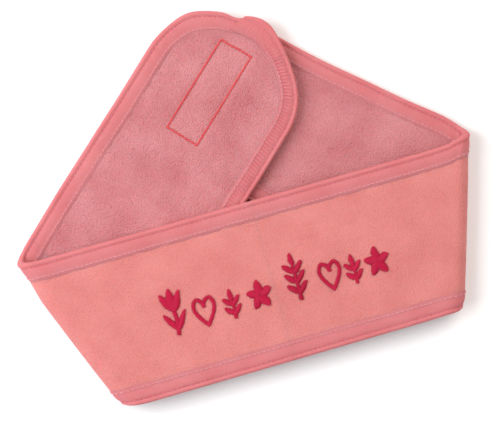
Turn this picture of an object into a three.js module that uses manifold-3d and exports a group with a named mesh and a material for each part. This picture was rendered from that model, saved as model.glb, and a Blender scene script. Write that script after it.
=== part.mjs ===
// Spa headband: a wide terry band with hook-and-loop ends, lying folded flat with the ends crossed.
// Millimetres, +Z up. The front panel runs along X at the top of the stack. At each side the band
// folds under itself: the left panel comes back as the middle layer and ends in the tab, and the
// rear panel comes back as the bottom layer, under the tab.
// Band coordinates: s runs along the unfolded band from the middle of the front, v runs across it
// and n is the height over the middle of its thickness, positive on the outer face.
import * as THREE from "three";
import { mergeVertices } from "three/addons/utils/BufferGeometryUtils.js";
import Module from "manifold-3d";

const wasm = await Module();
wasm.setup();

// Driving sizes, in mm and degrees.
const OVERALL_LENGTH = 584; // tip to tip, laid straight
const BAND_WIDTH = 84;
const FOLD_TO_FOLD = 219.2; // the front panel, between the two fold lines
const TAB_REACH = 190; // from the left fold line to the tip of the tab
const LEFT_LEAN = 21.4; // how far each fold line leans out from straight across the band
const RIGHT_LEAN = 21.16;
const CLOTH = 1.2; // one layer of pile cloth
const TAPE = 0.9; // binding tape, folded over both edges
const TAPE_REACH = 10; // how far the tape comes in from the edge
const GAP = 0.3; // between neighbouring pieces
const THREAD = 0.4; // height of a seam over the tape
const SEAM_WIDTH = 0.5;
const SEAM_INSETS = { outer: 2.5, inner: 8.6 }; // the two rows of stitching along the tape
const HOOK = { along: 55.5, across: 20, thick: 1.35, fromTip: 43.5, offset: 3.75 };
const LOOP = { along: 48, across: 20, thick: 1.5, fromTip: 38.8, offset: -1 };
const BOX_INSET = 1.1; // the box stitching, in from the edge of the hook or loop tape
const ROUND = 40; // length of the rounded ends
const PEEL_CLEARANCE = 9; // from the front panel's edge to the line where the tab peels up
const RAMP_START = 8; // flat stretch of the left panel after its fold
const RAMP_SLOPE = 7;
const RAMP_RADIUS = 64;
const ORNAMENT = { height: 0.8, stroke: 2.2, large: 25, small: 16.5, base: -13.5, narrow: 0.85 };

// Heights of the stack, from the thicknesses above.
const half = BAND_WIDTH / 2;
const skin = CLOTH + GAP / 2; // outer face of a cloth layer
const tapeFace = skin + GAP + TAPE;
const seamFace = tapeFace + GAP + THREAD;
const rearZ = tapeFace;
const closure = skin + GAP + LOOP.thick + GAP + HOOK.thick + GAP + skin;
const tabZ = rearZ + Math.max(closure, tapeFace + seamFace + GAP);
const frontZ = tabZ + seamFace + GAP + tapeFace;
const bend = (frontZ - rearZ) / 2; // radius of the middle of the band round each fold
const turn = Math.PI * bend; // length of band that goes round a fold
const rad = THREE.MathUtils.degToRad;
const V2 = THREE.Vector2;

// Each fold: its line across the front, pointing to the upper edge, and inward to the front.
const foldOf = (x, lean, side) => {
  const line = new V2(side * Math.sin(rad(lean)), Math.cos(rad(lean)));
  const inward = new V2(-side * Math.cos(rad(lean)), Math.sin(rad(lean)));
  return { x, lean, side, line, inward };
};
const left = foldOf(-FOLD_TO_FOLD / 2, LEFT_LEAN, -1);
const right = foldOf(FOLD_TO_FOLD / 2, RIGHT_LEAN, 1);

// A folded panel lies flat along a turned direction; ahead and across are its own axes.
for (const fold of [left, right]) {
  const angle = fold.side < 0 ? 2 * rad(fold.lean) : Math.PI - 2 * rad(fold.lean);
  fold.ahead = new V2(Math.cos(angle), Math.sin(angle));
  fold.across = new V2(fold.side * fold.ahead.y, -fold.side * fold.ahead.x);
}
const rearReach = OVERALL_LENGTH - FOLD_TO_FOLD - TAB_REACH;
const split = (half * (1 + left.ahead.x)) / left.ahead.y + PEEL_CLEARANCE;

// The left panel stays on the floor, then climbs to lie over the rear panel's end.
const rearRound = new V2(right.x, 0).addScaledVector(right.ahead, rearReach - ROUND);
const rearNearest =
  rearRound.clone().sub(new V2(left.x, 0)).dot(left.inward) -
  Math.hypot(ROUND * right.ahead.dot(left.inward), half * right.across.dot(left.inward));
const splitNearest =
  split * left.ahead.dot(left.inward) - half * Math.abs(left.across.dot(left.inward));
const rampEnd = Math.min(rearNearest - 10, splitNearest - 0.5) - turn / 2;
const rise = tabZ - rearZ;
const slopeFor = (slope) => {
  const straight = (rise - 2 * RAMP_RADIUS * (1 - Math.cos(slope))) / Math.sin(slope);
  return { slope, straight, length: straight + 2 * RAMP_RADIUS * slope };
};
let ramp = slopeFor(rad(RAMP_SLOPE));
while (ramp.length > rampEnd - RAMP_START && ramp.slope < rad(20))
  ramp = slopeFor(ramp.slope * 1.05);

// The line that the band follows, seen along a fold: stretches of constant curvature.
const afterFold = [
  { length: turn, turns: -Math.PI },
  { length: RAMP_START, turns: 0 },
  { length: RAMP_RADIUS * ramp.slope, turns: -ramp.slope },
  { length: ramp.straight, turns: 0 },
  { length: RAMP_RADIUS * ramp.slope, turns: ramp.slope },
];
left.path = afterFold;
right.path = afterFold.slice(0, 1);
function follow(path, t) {
  let [x, z, heading] = [0, 0, 0];
  for (const { length, turns } of [...path, { length: Infinity, turns: 0 }]) {
    const step = Math.min(t, length);
    if (turns === 0) {
      x += step * Math.cos(heading);
      z += step * Math.sin(heading);
    } else {
      const next = heading + (turns * step) / length;
      x += (length / turns) * (Math.sin(next) - Math.sin(heading));
      z -= (length / turns) * (Math.cos(next) - Math.cos(heading));
      heading = next;
    }
    t -= step;
    if (t <= 0) break;
  }
  return { x, z, heading };
}

// Where a point of the band goes once the band is folded.
function place(s, v, n) {
  for (const fold of [left, right]) {
    const from = new V2(s - fold.x, v);
    const past = turn / 2 - from.dot(fold.inward);
    if (past <= 0) continue;
    const { x, z, heading } = follow(fold.path, past);
    const out = turn / 2 - x + n * Math.sin(heading);
    const p = new V2(fold.x, 0)
      .addScaledVector(fold.line, from.dot(fold.line))
      .addScaledVector(fold.inward, out);
    return new THREE.Vector3(p.x, p.y, frontZ + z + n * Math.cos(heading));
  }
  return new THREE.Vector3(s, v, frontZ + n);
}

// A section extruded in steps, with every step laid on its own station of the band.
function sweep(section, stations) {
  const steps = stations.length - 1;
  const geometry = new THREE.ExtrudeGeometry(section, { depth: steps, steps, bevelEnabled: false });
  geometry.deleteAttribute("normal");
  geometry.deleteAttribute("uv");
  const at = geometry.getAttribute("position");
  for (let i = 0; i < at.count; i++) {
    const p = stations[Math.round(at.getZ(i))](at.getX(i), at.getY(i));
    at.setXYZ(i, p.x, p.y, p.z);
  }
  return faceOut(geometry);
}

// Merges the corners and turns the faces outwards if the section came out mirrored.
function faceOut(geometry) {
  const merged = mergeVertices(geometry, 1e-4);
  const at = merged.getAttribute("position");
  const index = merged.index.array;
  const [a, b, c] = [new THREE.Vector3(), new THREE.Vector3(), new THREE.Vector3()];
  let volume = 0;
  for (let i = 0; i < index.length; i += 3) {
    a.fromBufferAttribute(at, index[i]);
    b.fromBufferAttribute(at, index[i + 1]);
    c.fromBufferAttribute(at, index[i + 2]);
    volume += a.dot(b.cross(c));
  }
  if (volume < 0)
    for (let i = 0; i < index.length; i += 3)
      [index[i], index[i + 1]] = [index[i + 1], index[i]];
  return merged;
}

function join(geometries) {
  const solids = geometries.map((g) => {
    const vertProperties = g.getAttribute("position").array;
    const triVerts = new Uint32Array(g.index.array);
    return new wasm.Manifold(new wasm.Mesh({ numProp: 3, vertProperties, triVerts }));
  });
  const whole = solids.reduce((sum, solid) => sum.add(solid)).getMesh();
  const geometry = new THREE.BufferGeometry();
  geometry.setAttribute("position", new THREE.BufferAttribute(whole.vertProperties, 3));
  geometry.setIndex(new THREE.BufferAttribute(whole.triVerts, 1));
  return geometry;
}

const polygon = (points) => new THREE.Shape(points.map(([x, y]) => new V2(x, y)));
const rectangle = (x0, x1, y0, y1) => polygon([[x0, y0], [x1, y0], [x1, y1], [x0, y1]]);

// Sections. Cloth is measured across the band; tape and seams are measured in from the edge.
const cloth = { face: [GAP / 2, skin], lining: [-skin, -GAP / 2] };
const clothSection = ([low, high]) => rectangle(-1, 1, low, high);
const inset = TAPE + GAP; // cloth edge, in from the tape's outer face
const foldOver = polygon([
  [0, -tapeFace], [TAPE_REACH, -tapeFace], [TAPE_REACH, TAPE - tapeFace],
  [TAPE, TAPE - tapeFace], [TAPE, tapeFace - TAPE], [TAPE_REACH, tapeFace - TAPE],
  [TAPE_REACH, tapeFace], [0, tapeFace],
]);
const seamSection = (from, up) =>
  rectangle(from - SEAM_WIDTH / 2, from + SEAM_WIDTH / 2,
    up * (seamFace - THREAD), up * seamFace);

// Stations across the front and round the folds. rowOf gives s where a line parallel to the fold
// meets v, at t past the start of the fold.
const rowOf = (fold, t) => (v) => fold.x + (turn / 2 - t - v * fold.inward.y) / fold.inward.x;
const squareRow = (fold, ahead) => () => fold.x + fold.side * ahead;
const clothStations = (rows, edge = half - inset) =>
  rows.map((row) => (w, n) => place(row(w * edge), w * edge, n));
const edgeStations = (rows, side) =>
  rows.map((row) => (d, n) => place(row(side * (half - d)), side * (half - d), n));

const frontRows = [rowOf(left, 0), rowOf(right, 0)];
const roundFold = (fold, facets = 14) =>
  Array.from({ length: facets + 1 }, (_, i) =>
    rowOf(fold, GAP + ((turn - 2 * GAP) * i) / facets));
const rampRows = [turn, turn + RAMP_START];
for (const [stretch, facets] of [[2, 4], [3, 1], [4, 4]])
  for (let i = 1; i <= facets; i++)
    rampRows.push(rampRows[1] + afterFold.slice(2, stretch).reduce((a, b) => a + b.length, 0) +
      (afterFold[stretch].length * i) / facets);
const leftRows = [...rampRows.map((t) => rowOf(left, t)), squareRow(left, split - GAP)];

// The rounded ends: where the panel starts, if not at its fold, and where its round starts.
const tabEnd = { fold: left, start: split + GAP, round: TAB_REACH - ROUND };
const rearEnd = { fold: right, start: null, round: rearReach - ROUND };
const ease = (count) => Array.from({ length: count }, (_, i) => i / (count - 1));

function endCloth(end, layer) {
  const { fold } = end;
  const rows = [];
  const flatRow = (u, w) =>
    rows.push((x, n) => place(fold.x + fold.side * u, x * w, n));
  if (end.start === null) rows.push(...clothStations([rowOf(fold, turn)]));
  else for (const k of ease(6).slice(0, -1)) {
    const u = end.start + (end.round - end.start) * k;
    flatRow(u, half - inset);
  }
  for (const k of ease(15)) {
    const angle = rad(86) * k;
    flatRow(end.round + (ROUND - inset) * Math.sin(angle), (half - inset) * Math.cos(angle));
  }
  return sweep(clothSection(layer), rows);
}

// The edge of a rounded end, from the upper side round the tip to the lower side.
function endStations(end) {
  const { fold } = end;
  const outline = [];
  if (end.start !== null)
    for (const k of ease(6).slice(0, -1)) {
      const u = end.start + (end.round - end.start) * k;
      outline.push([u, half]);
    }
  for (const k of ease(19)) {
    const angle = (Math.PI / 2) * k;
    outline.push([end.round + ROUND * Math.sin(angle), half * Math.cos(angle)]);
  }
  const around = [...outline, ...outline.slice(0, -1).reverse().map(([u, v]) => [u, -v])];
  const stations = around.map(([u, v], i) => {
    const before = around[Math.max(i - 1, 0)];
    const after = around[Math.min(i + 1, around.length - 1)];
    const along = new V2(after[0] - before[0], after[1] - before[1]).normalize();
    const square = i === 0 || i === around.length - 1;
    const inwards = square ? new V2(0, -Math.sign(v)) : new V2(along.y, -along.x);
    return (d, n) =>
      place(fold.x + fold.side * (u + inwards.x * d), v + inwards.y * d, n);
  });
  if (end.start !== null) return stations;
  const foot = rowOf(fold, turn);
  return [...edgeStations([foot], 1), ...stations, ...edgeStations([foot], -1)];
}

// A flat patch on a rounded end, given by how far its middle is from the tip and off the centre.
// With a ring width it is only the ring of box stitching, inside the patch's edge.
function patch(end, size, low, high, ringWidth = 0) {
  const { fold } = end;
  const [u, v] = [end.round + ROUND - size.fromTip, size.offset];
  const box = (inside) => {
    const [a, b] = [size.along / 2 - inside, size.across / 2 - inside];
    return rectangle(u - a, u + a, v - b, v + b);
  };
  const shape = box(ringWidth ? BOX_INSET - ringWidth / 2 : 0);
  if (ringWidth) shape.holes.push(box(BOX_INSET + ringWidth / 2));
  return sweep(shape, [low, high].map((n) => (x, y) => place(fold.x + fold.side * x, y, n)));
}

// Ornaments: strokes of raised stitching in a plane of their own, joined into one piece.
const ornamentAt = { low: frontZ + skin + GAP, high: ORNAMENT.height };
function stroke(points, widths = [1, 1]) {
  const curve = new THREE.CatmullRomCurve3(points.map(([x, y]) => new THREE.Vector3(x, y, 0)));
  const stations = ease(points.length * 5).map((t) => {
    const [at, along] = [curve.getPoint(t), curve.getTangent(t)];
    const wide = (ORNAMENT.stroke / ORNAMENT.small) * THREE.MathUtils.lerp(...widths, t);
    return (x, y) =>
      new THREE.Vector3(at.x - along.y * x * wide, at.y + along.x * x * wide, y);
  });
  return sweep(rectangle(-0.5, 0.5, 0, 1), stations);
}
function leaf(x, y, angle, long, wide) {
  const outline = ease(13).map((k) => {
    const a = 2 * Math.PI * k;
    const [u, v] = [long / 2 + (long / 2) * Math.cos(a), (wide / 2) * Math.sin(a)];
    const taper = v * (1 - 0.45 * (u / long) ** 2);
    return [x + u * Math.cos(angle) - taper * Math.sin(angle),
      y + u * Math.sin(angle) + taper * Math.cos(angle)];
  });
  return sweep(polygon(outline.slice(0, -1)), [0, 1].map((z) => (a, b) =>
    new THREE.Vector3(a, b, z)));
}
// Each motif is drawn in a square one unit high, standing on y = 0.
const pairs = (heights, long, wide) => heights.flatMap((y) => [-1, 1].map((side) =>
  leaf(0, y, Math.PI / 2 - side * 0.85, long, wide)));
const motifs = {
  tulip: () => [
    stroke([[-0.03, 0.01], [0.02, 0.25], [0, 0.54]], [0.8, 0.7]),
    leaf(0, 0.1, 0.95, 0.46, 0.16), leaf(0, 0.1, 2.2, 0.46, 0.16),
    leaf(0, 0.5, Math.PI / 2, 0.46, 0.24), leaf(-0.03, 0.5, Math.PI / 2 + 0.5, 0.44, 0.2),
    leaf(0.03, 0.5, Math.PI / 2 - 0.5, 0.44, 0.2),
  ],
  heart: () => [-1, 1].map((side) => stroke([[0.03, 0.03], [-0.1, 0.16], [-0.3, 0.42],
    [-0.38, 0.66], [-0.26, 0.88], [-0.07, 0.8], [0.03, 0.6]].map(([x, y]) => [x * side, y]))),
  fern: () => [
    stroke([[0, 0.01], [0.01, 0.4], [0, 0.8]], [0.8, 0.5]),
    ...pairs([0.14, 0.36, 0.56], 0.34, 0.16), leaf(0, 0.72, Math.PI / 2, 0.26, 0.16),
  ],
  sprig: () => [
    stroke([[0, 0.02], [0.02, 0.3], [0, 0.6]], [0.9, 0.7]),
    ...pairs([0.14, 0.42], 0.42, 0.22), leaf(0, 0.54, Math.PI / 2, 0.4, 0.22),
  ],
  blossom: () => [
    ...ease(6).slice(1).map((k) => leaf(0.03 * Math.cos(2 * Math.PI * k),
      0.5 + 0.03 * Math.sin(2 * Math.PI * k), 2 * Math.PI * k + 0.3, 0.44, 0.36)),
  ],
};
const ornaments = [
  ["tulip", -52.5, ORNAMENT.large], ["heart", -37.3, ORNAMENT.small],
  ["sprig", -23, ORNAMENT.small], ["blossom", -8.4, ORNAMENT.small],
  ["fern", 11.6, ORNAMENT.large], ["heart", 29.2, ORNAMENT.small],
  ["sprig", 41.5, ORNAMENT.small], ["blossom", 54.1, ORNAMENT.small],
];

const looks = {
  velour_face: [0xe0857f, 0.95],
  terry_lining: [0xdf8a8b, 0.97],
  binding_tape: [0xe88a8c, 0.85],
  sewing_thread: [0xea7f86, 0.6],
  hook_tape: [0xe6a1a6, 0.55],
  loop_tape: [0xdd8d93, 0.9],
  embroidery_thread: [0xc92450, 0.45],
};
function piece(name, look, geometry) {
  const [color, roughness] = looks[look];
  const flat = geometry.toNonIndexed();
  flat.computeVertexNormals();
  const material = new THREE.MeshStandardMaterial({ color, roughness, metalness: 0 });
  const mesh = new THREE.Mesh(flat, material);
  mesh.name = name;
  return mesh;
}
const sideName = (side) => (side > 0 ? "upper" : "lower");

// One stretch of the band: two layers of cloth and the tape over both edges.
function stretch(prefix, rows) {
  const made = [
    piece(`${prefix}_face_cloth`, "velour_face", sweep(clothSection(cloth.face),
      clothStations(rows))),
    piece(`${prefix}_lining`, "terry_lining", sweep(clothSection(cloth.lining),
      clothStations(rows))),
  ];
  for (const side of [1, -1])
    made.push(piece(`${prefix}_${sideName(side)}_binding`, "binding_tape",
      sweep(foldOver, edgeStations(rows, side))));
  return made;
}
function seams(prefix, rows, up) {
  const made = [];
  for (const side of [1, -1])
    for (const [which, from] of Object.entries(SEAM_INSETS))
      made.push(piece(`${prefix}_${sideName(side)}_${which}_seam`, "sewing_thread",
        sweep(seamSection(from, up), edgeStations(rows, side))));
  return made;
}
function endPieces(prefix, end) {
  const stations = endStations(end);
  const made = [
    piece(`${prefix}_face_cloth`, "velour_face", endCloth(end, cloth.face)),
    piece(`${prefix}_lining`, "terry_lining", endCloth(end, cloth.lining)),
    piece(`${prefix}_binding`, "binding_tape", sweep(foldOver, stations)),
  ];
  for (const [which, from] of Object.entries(SEAM_INSETS))
    made.push(piece(`${prefix}_${which}_seam`, "sewing_thread",
      sweep(seamSection(from, -1), stations)));
  return made;
}

const headband = new THREE.Group();
const body = (name, ...meshes) => {
  const group = new THREE.Group();
  group.name = name;
  headband.add(group.add(...meshes));
};

const embroidery = ornaments.map(([motif, x, size], i) => {
  const mesh = piece(`ornament_${i + 1}`, "embroidery_thread", join(motifs[motif]()));
  mesh.position.set(x, ORNAMENT.base, ornamentAt.low);
  mesh.scale.set(size * ORNAMENT.narrow, size, ornamentAt.high);
  return mesh;
});
body("front_panel", ...stretch("front", frontRows), ...seams("front", frontRows, 1),
  ...embroidery,
  ...stretch("left_fold", roundFold(left)), ...stretch("right_fold", roundFold(right)));
body("left_panel", ...stretch("left", leftRows), ...seams("left", leftRows, -1));

// Where the tape's two ends lap over each other, a little past the tip of the tab.
const lapTop = seamFace + GAP; // it lies over the outer seam
const lap = polygon([
  [-GAP - 0.8, -lapTop - 0.6], [TAPE_REACH, -lapTop - 0.6], [TAPE_REACH, -lapTop],
  [-GAP, -lapTop], [-GAP, tapeFace - 0.6], [-GAP - 0.8, tapeFace - 0.6],
]);
const tabStations = endStations(tabEnd);
const lapFrom = Math.floor(tabStations.length / 2) - 3;
body("tab", ...endPieces("tab", tabEnd),
  piece("binding_lap", "binding_tape", sweep(lap, tabStations.slice(lapFrom, lapFrom + 4))),
  piece("hook_tape", "hook_tape", patch(tabEnd, HOOK, skin + GAP, skin + GAP + HOOK.thick)),
  piece("hook_box_stitch", "sewing_thread",
    patch(tabEnd, HOOK, -skin - GAP - THREAD, -skin - GAP, SEAM_WIDTH + 0.1)));
body("rear_panel", ...endPieces("rear", rearEnd),
  piece("loop_tape", "loop_tape", patch(rearEnd, LOOP, -skin - GAP - LOOP.thick, -skin - GAP)),
  piece("loop_box_stitch", "sewing_thread",
    patch(rearEnd, LOOP, skin + GAP, skin + GAP + THREAD, SEAM_WIDTH + 0.1)));

// The origin is under the middle of the folded band, on the surface it lies on.
const box = new THREE.Box3().setFromObject(headband);
const middle = box.getCenter(new THREE.Vector3());
headband.position.set(-middle.x, -middle.y, -box.min.z);

export default headband;
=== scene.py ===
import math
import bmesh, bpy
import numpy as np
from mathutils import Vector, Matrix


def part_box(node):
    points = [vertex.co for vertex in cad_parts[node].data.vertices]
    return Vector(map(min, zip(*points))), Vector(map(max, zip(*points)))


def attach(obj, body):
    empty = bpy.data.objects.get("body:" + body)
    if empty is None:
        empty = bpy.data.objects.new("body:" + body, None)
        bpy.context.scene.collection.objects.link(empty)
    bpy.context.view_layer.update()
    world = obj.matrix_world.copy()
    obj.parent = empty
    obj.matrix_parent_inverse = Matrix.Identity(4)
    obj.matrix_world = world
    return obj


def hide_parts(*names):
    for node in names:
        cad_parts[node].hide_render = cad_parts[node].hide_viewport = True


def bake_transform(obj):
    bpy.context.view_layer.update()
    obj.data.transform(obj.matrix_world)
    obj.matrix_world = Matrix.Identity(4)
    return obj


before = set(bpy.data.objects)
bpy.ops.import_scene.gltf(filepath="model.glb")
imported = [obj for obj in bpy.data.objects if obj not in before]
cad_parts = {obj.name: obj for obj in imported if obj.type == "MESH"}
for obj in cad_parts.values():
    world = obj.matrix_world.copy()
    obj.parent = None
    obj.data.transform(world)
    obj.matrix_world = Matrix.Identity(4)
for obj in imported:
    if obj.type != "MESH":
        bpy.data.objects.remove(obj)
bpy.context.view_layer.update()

# %% [markdown]
# # A terry spa headband, folded flat
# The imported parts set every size. Each visible surface is rebuilt here as cloth, tape and thread.
# A point of the band is named by s (along it, unfolded), v (across it) and n (above its middle),
# in millimetres, and one function folds all of them into place.

rng = np.random.default_rng(11)

# %% [markdown]
# ## The folded band
# The two fold lines lean outwards. Past each one the band goes round a half circle and comes back
# under the front. The left panel then climbs a gentle ramp to lie over the rear panel's end.

# %% Sizes and folding
HALF, SKIN = 42.0, 1.2
REAR_Z, TAB_Z, FRONT_Z = 2.55, 9.0, 15.1
BEND = (FRONT_Z - REAR_Z) / 2
TURN = math.pi * BEND
TAB_ROUND, REAR_ROUND, ROUND, SPLIT = 150.0, 134.8, 40.0, 116.17
INSET = 1.2
FLOOR = 0.02  # the lowest any point lies, just off the surface
RAMP, RAMP_RADIUS, LEVEL = math.radians(7), 64, 8  # the left panel's climb, and the flat before it


def fold_line(x, lean, side):
    a = math.radians(lean)
    return {
        "x": x, "side": side,
        "line": np.array([side * math.sin(a), math.cos(a)]),
        "inward": np.array([-side * math.cos(a), math.sin(a)]),
    }


LEFT, RIGHT = fold_line(-109.6, 21.4, -1), fold_line(109.6, 21.16, 1)
straight = (TAB_Z - REAR_Z - 2 * RAMP_RADIUS * (1 - math.cos(RAMP))) / math.sin(RAMP)
LEFT["path"] = [(TURN, -math.pi), (LEVEL, 0), (RAMP_RADIUS * RAMP, -RAMP), (straight, 0),
                (RAMP_RADIUS * RAMP, RAMP)]
RIGHT["path"] = [(TURN, -math.pi)]


def row_at(fold, t):
    """a and b of the line s = a + b v that runs parallel to the fold, t past its start."""
    nx, ny = fold["inward"]
    return fold["x"] + (TURN / 2 - t) / nx, -ny / nx


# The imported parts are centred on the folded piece, so their boxes give that centre.
a, b = row_at(LEFT, 0)
low = np.array(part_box("front_face_cloth")[0]) * 1000
CENTRE = np.array([a + b * (HALF - INSET) - low[0], -(HALF - INSET) - low[1]])


def follow(path, t):
    x, z, heading, start = 0 * t, 0 * t, 0 * t, 0.0
    h0 = 0.0
    for length, turns in path + [(1e9, 0)]:
        step = np.clip(t - start, 0, length)
        if turns:
            h = h0 + turns * step / length
            x = x + (length / turns) * (np.sin(h) - math.sin(h0))
            z = z - (length / turns) * (np.cos(h) - math.cos(h0))
            heading = heading + turns * step / length
        else:
            x, z = x + step * math.cos(h0), z + step * math.sin(h0)
        start, h0 = start + length, h0 + turns
    return x, z, heading


def place(s, v, n):
    s, v, n = np.broadcast_arrays(*(np.asarray(q, float) for q in (s, v, n)))
    out = np.stack([s, v, FRONT_Z + n], -1)
    for fold in (LEFT, RIGHT):
        dx = s - fold["x"]
        past = TURN / 2 - (dx * fold["inward"][0] + v * fold["inward"][1])
        along = dx * fold["line"][0] + v * fold["line"][1]
        x, z, heading = follow(fold["path"], np.maximum(past, 0))
        inwards = TURN / 2 - x + n * np.sin(heading)
        p = np.stack([
            fold["x"] + along * fold["line"][0] + inwards * fold["inward"][0],
            along * fold["line"][1] + inwards * fold["inward"][1],
            FRONT_Z + z + n * np.cos(heading)], -1)
        out = np.where((past > 0)[..., None], p, out)
    return out


def waves(s, v, size, seed, count=5):
    """A smooth random field from -1 to 1 with features about size mm across."""
    r = np.random.default_rng(seed)
    total = 0
    for _ in range(count):
        k, turn, phase = r.uniform(0.6, 1.5), r.uniform(0, math.pi), r.uniform(0, 6.28)
        total = total + np.sin((s * math.cos(turn) + v * math.sin(turn)) * 6.28 * k / size + phase)
    return total / count


def hump(distance, wide):
    return np.exp(-((distance / wide) ** 2))


def settle(s, v):
    """How cloth lies: swells, a crease where the left panel meets the end under it, soft waves."""
    u, r = LEFT["x"] - s, s - RIGHT["x"]
    arch = 1 - 0.4 * (v / HALF) ** 2
    skew = u + 0.25 * v
    front = np.clip((HALF * 2.6 - np.abs(s)) / 40, 0, 1)
    # There is about 2 mm of room each way, and the swell just touches the front's tape over it.
    return (2.2 * hump(skew - 76, 11) * arch - 1.8 * hump(skew - 102, 6) * arch
            + 0.9 * hump(u - 132, 12)
            + front * (0.55 * waves(s, v, 95, 3) + 0.5)
            + 0.35 * waves(s, v, 60, 5) * (np.abs(u - 40) > 30)
            + 0.5 * np.clip(np.minimum(r - 30, 95 - r) / 20, 0, 1) * (waves(s, v, 70, 9) + 0.4))


# The rounded tip isn't quite an ellipse: (angle from its middle, width, mm outwards).
SHOULDERS = [(52, 14, 1.6), (17, 7, -1.6), (-4, 13, 2.6), (-42, 18, -1.2)]


def lie(s, v):
    """The band is hand cut and hand laid: its ends wander a little from the plain outline."""
    u, r = LEFT["x"] - s, s - RIGHT["x"]
    x, y = (u - TAB_ROUND) / ROUND, v / HALF
    radius, angle = np.hypot(x, y), np.degrees(np.arctan2(y, np.maximum(x, 1e-6)))
    out = sum(amount * hump(angle - at, wide) for at, wide, amount in SHOULDERS)
    out = out * (x > 0) * np.clip(x / 0.25, 0, 1) * radius ** 4
    k = out / np.maximum(radius, 0.05)
    bow = 2.4 * hump(r - 28, 22) - 1.2 * hump(r - 110, 25)
    drift = -1.0 * np.clip((u - 60) / 60, 0, 1)
    return s - k * x, v + k * y + bow * np.clip(v / HALF, 0, 1) * (r > 0) + drift


def drawn_in(fold, along):
    """How far a fold is pulled in, at a distance up the fold from the band's middle."""
    low = np.clip((-along - 33) / 12, 0, 1) ** 2
    if fold["side"] < 0:
        return 1.1 + 1.8 * np.clip((along - 22) / 16, 0, 1) + 2.2 * low
    return 1.9 + 2.8 * np.clip(along / 45, -1, 1) + 2.0 * low


def band(s, v, n):
    s, v = lie(np.asarray(s, float), np.asarray(v, float))
    p = place(s, v, n)
    p[..., 2] += settle(s, v)
    for fold, reach in ((LEFT, 9), (RIGHT, 16)):
        dx = p[..., 0] - fold["x"]
        inside = dx * fold["inward"][0] + p[..., 1] * fold["inward"][1]
        along = dx * fold["line"][0] + p[..., 1] * fold["line"][1]
        pull = drawn_in(fold, along) * hump(np.maximum(inside, 0), reach)
        p[..., :2] += pull[..., None] * fold["inward"]
    p[..., :2] -= CENTRE
    p[..., 2] = np.maximum(p[..., 2], FLOOR)
    return p / 1000


print("fold radius", round(BEND, 2), "ramp", round(straight, 1))

# %% [markdown]
# ## Rows across the band
# A row is s = a + b v with a half width, so the rows can run parallel to a fold and then turn
# square again. The same rows carry the cloth, and the edge stations carry tape and stitches.

# %% Rows
def spread(first, last, step):
    count = max(2, int(math.ceil(np.max(np.abs(np.subtract(last, first))) / step)) + 1)
    return np.linspace(first, last, count)


PAST = TURN + LEVEL  # where two pieces of cloth meet, hidden under the front


def straight_rows(step):
    """(a, b) rows from the tab's round to the rear's round, with the cuts between pieces."""
    left_cut, right_end = row_at(LEFT, PAST), row_at(RIGHT, TURN)
    square = (LEFT["x"] - 96, 0.0)
    parts = [
        spread((LEFT["x"] - TAB_ROUND, 0.0), square, step),
        spread(square, left_cut, step),
        spread(left_cut, row_at(LEFT, 0), step),
        spread(row_at(LEFT, 0), (0.0, 0.0), step),
        spread((0.0, 0.0), row_at(RIGHT, 0), step),
        spread(row_at(RIGHT, 0), right_end, step),
        spread(right_end, (RIGHT["x"] + 60, 0.0), step),
        spread((RIGHT["x"] + 60, 0.0), (RIGHT["x"] + REAR_ROUND, 0.0), step),
    ]
    rows = np.concatenate([part[:-1] for part in parts] + [parts[-1][-1:]])
    lengths = np.cumsum([0] + [len(part) - 1 for part in parts])
    return rows, lengths


def cloth_rows(step):
    """(a, b, half width) of every row, from the tip of the tab to the tip of the rear."""
    rows, marks = straight_rows(step)
    body = np.column_stack([rows, np.full(len(rows), HALF - INSET)])
    turn = np.radians(np.linspace(89.3, 0, int(50 / step) + 1))[:-1]

    def cap(t, x, side):
        return np.stack([x + side * (ROUND - INSET) * np.sin(t), 0 * t,
                         (HALF - INSET) * np.cos(t)], 1)

    tab, rear = cap(turn, LEFT["x"] - TAB_ROUND, -1), cap(turn[::-1], RIGHT["x"] + REAR_ROUND, 1)
    return np.concatenate([tab, body, rear]), marks + len(tab)


def edge(step):
    """Stations round the whole edge: (s0, v0, ds, dv), a point d in from the edge is s0 + ds d."""
    rows, marks = straight_rows(step)
    a, b = rows.T
    upper = np.stack([a + b * HALF, 0 * a + HALF, -b, 0 * a - 1], 1)
    lower = np.stack([a - b * HALF, 0 * a - HALF, b, 0 * a + 1], 1)

    def round_end(x, side):
        t = np.radians(np.linspace(90, -90, int(125 / step) + 1))[1:-1]
        out = unit(np.stack([side * np.cos(t) / ROUND, np.sin(t) / HALF], 1))
        return np.column_stack([x + side * ROUND * np.cos(t), HALF * np.sin(t), -out])

    tab, rear = round_end(LEFT["x"] - TAB_ROUND, -1), round_end(RIGHT["x"] + REAR_ROUND, 1)
    # B: lower cut, round the tab, to the upper cut. C: front middle, round the rear, and back.
    cut, mid = marks[2], marks[4]
    return {
        "A_upper": upper[cut:mid + 1], "A_lower": lower[cut:mid + 1],
        "B": np.concatenate([lower[:cut + 1][::-1], tab[::-1], upper[:cut + 1]]),
        "C": np.concatenate([upper[mid:], rear, lower[mid:][::-1]]),
    }


def unit(q):
    return q / np.maximum(np.linalg.norm(q, axis=-1, keepdims=True), 1e-12)


def collection(name):
    made = bpy.data.collections.new(name)
    bpy.context.scene.collection.children.link(made)
    return made


HEADBAND, STAGE = collection("Headband"), collection("Stage")


def add(name, data, into=HEADBAND):
    obj = bpy.data.objects.new(name, data)
    into.objects.link(obj)
    return obj


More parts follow.
